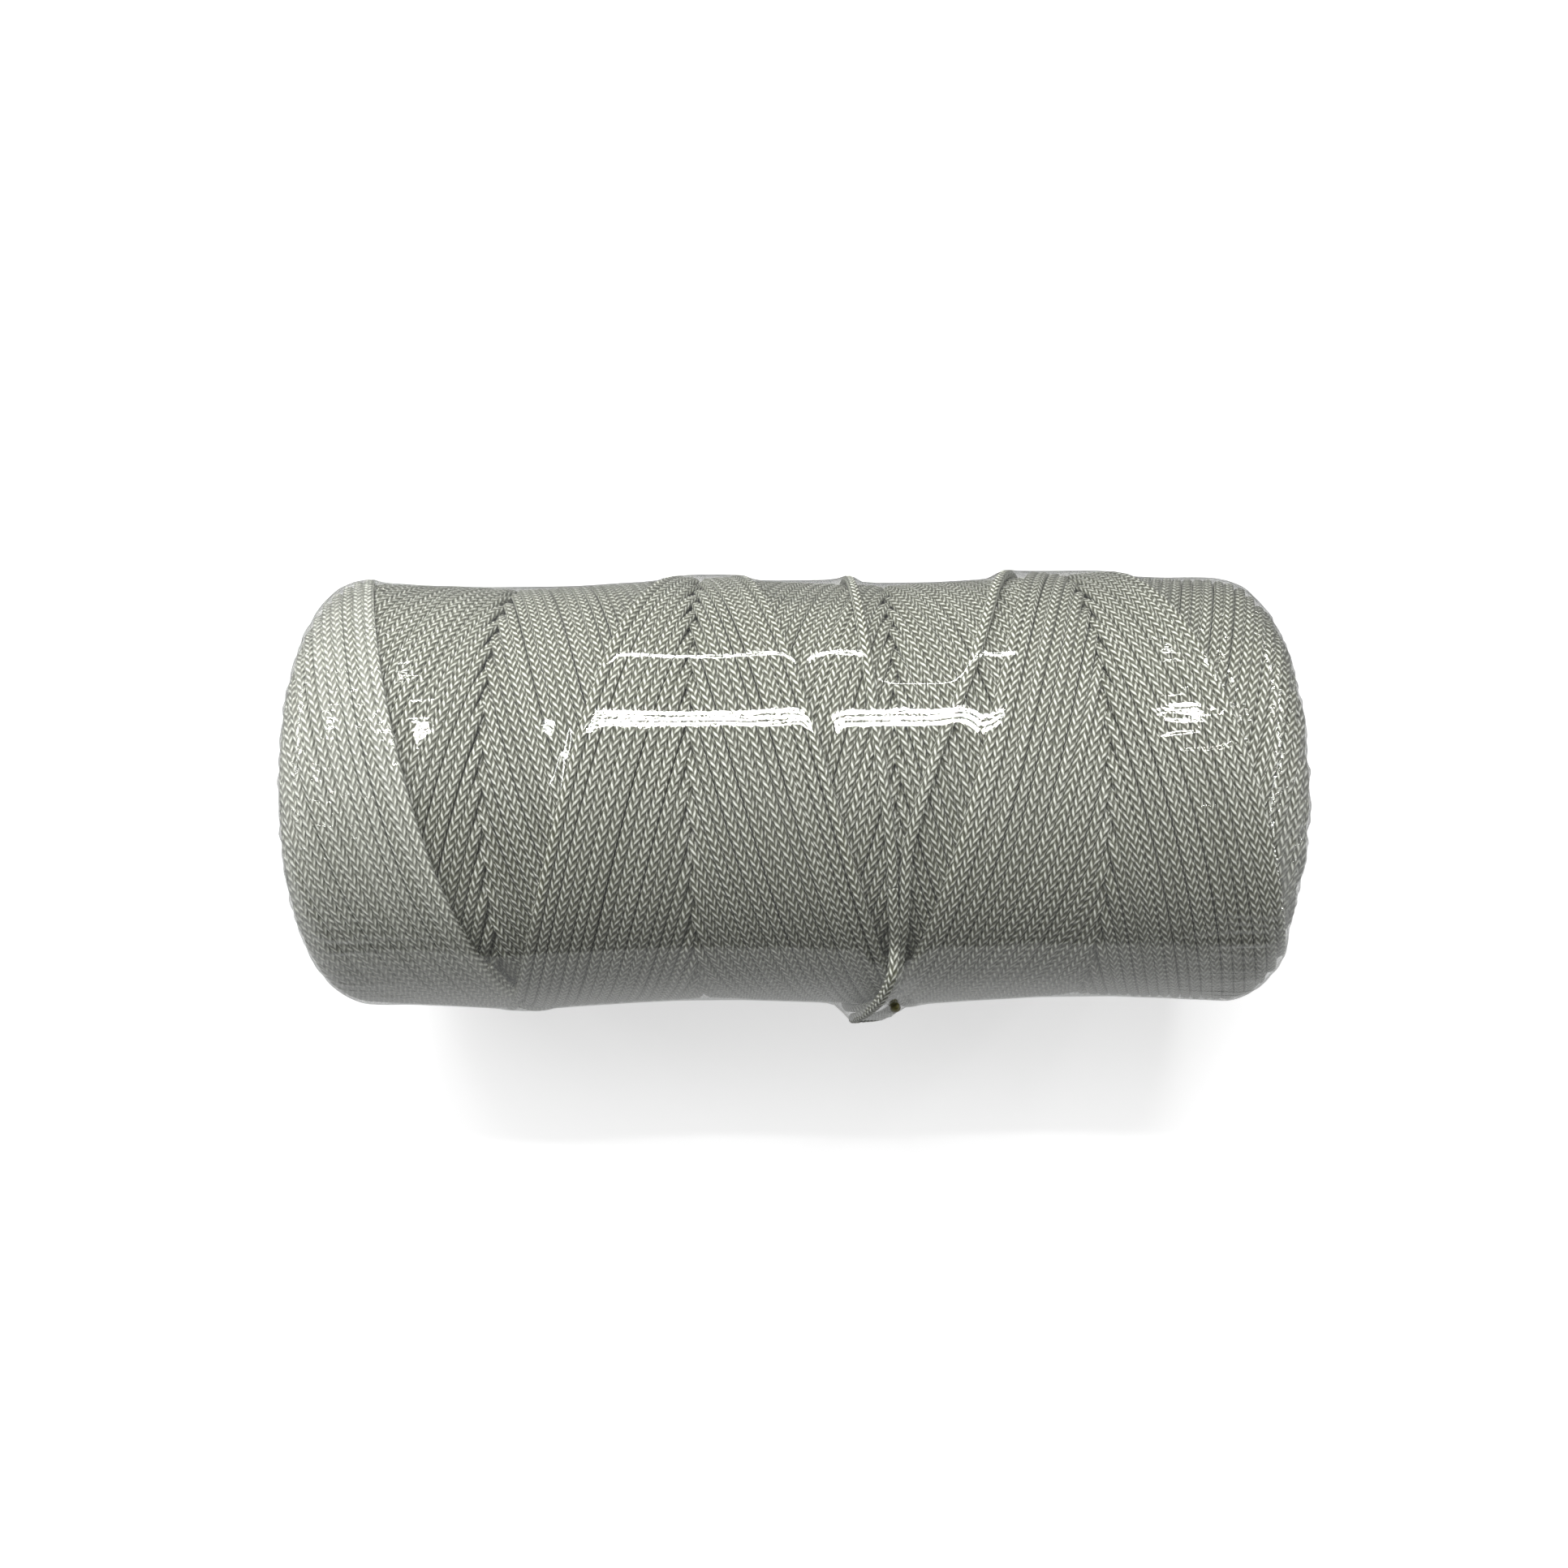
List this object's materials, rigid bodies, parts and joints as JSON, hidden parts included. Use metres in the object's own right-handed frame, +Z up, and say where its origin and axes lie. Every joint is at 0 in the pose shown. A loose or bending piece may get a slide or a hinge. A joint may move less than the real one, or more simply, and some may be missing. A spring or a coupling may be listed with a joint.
{
  "type": "cord package",
  "caption": "Cross-wound package of white braided cord on a paperboard tube, tied off with a hitch and shrink-wrapped in clear film.",
  "frame": {"origin": "middle of the flat that the package rests on, under the tube's axis at half its length", "axes": "+Z up, +X along the tube's axis, -Y towards the side that carries the hitch"},
  "size_m": [0.1734, 0.0852, 0.0827],
  "materials": {
    "paperboard": "matt grey-brown paperboard",
    "cord": "braided white nylon with a silky sheen",
    "wound_cord": "braided white nylon, packed",
    "sealed_end": "heat-melted nylon, olive",
    "film": "clear glossy shrink film"
  },
  "bodies": {
    "root": {"core_tube_liner": "paperboard", "core_tube_wall": "paperboard", "core_tube_cover": "paperboard", "starting_end": "cord", "winding_inner_layers": "wound_cord", "winding_middle_layers": "wound_cord", "winding_outer_layers": "wound_cord", "column_1_forward_band": "cord", "column_1_return_band": "cord", "column_2_forward_band": "cord", "column_2_return_band": "cord", "column_3_forward_band": "cord", "column_3_return_band": "cord", "column_4_forward_band": "cord", "column_4_return_band": "cord", "column_5_forward_band": "cord", "column_5_return_band": "cord", "outer_turn": "cord", "hitch_strand": "cord", "sealed_tip": "sealed_end", "film_wrap": "film"}
  },
  "joints": []
}
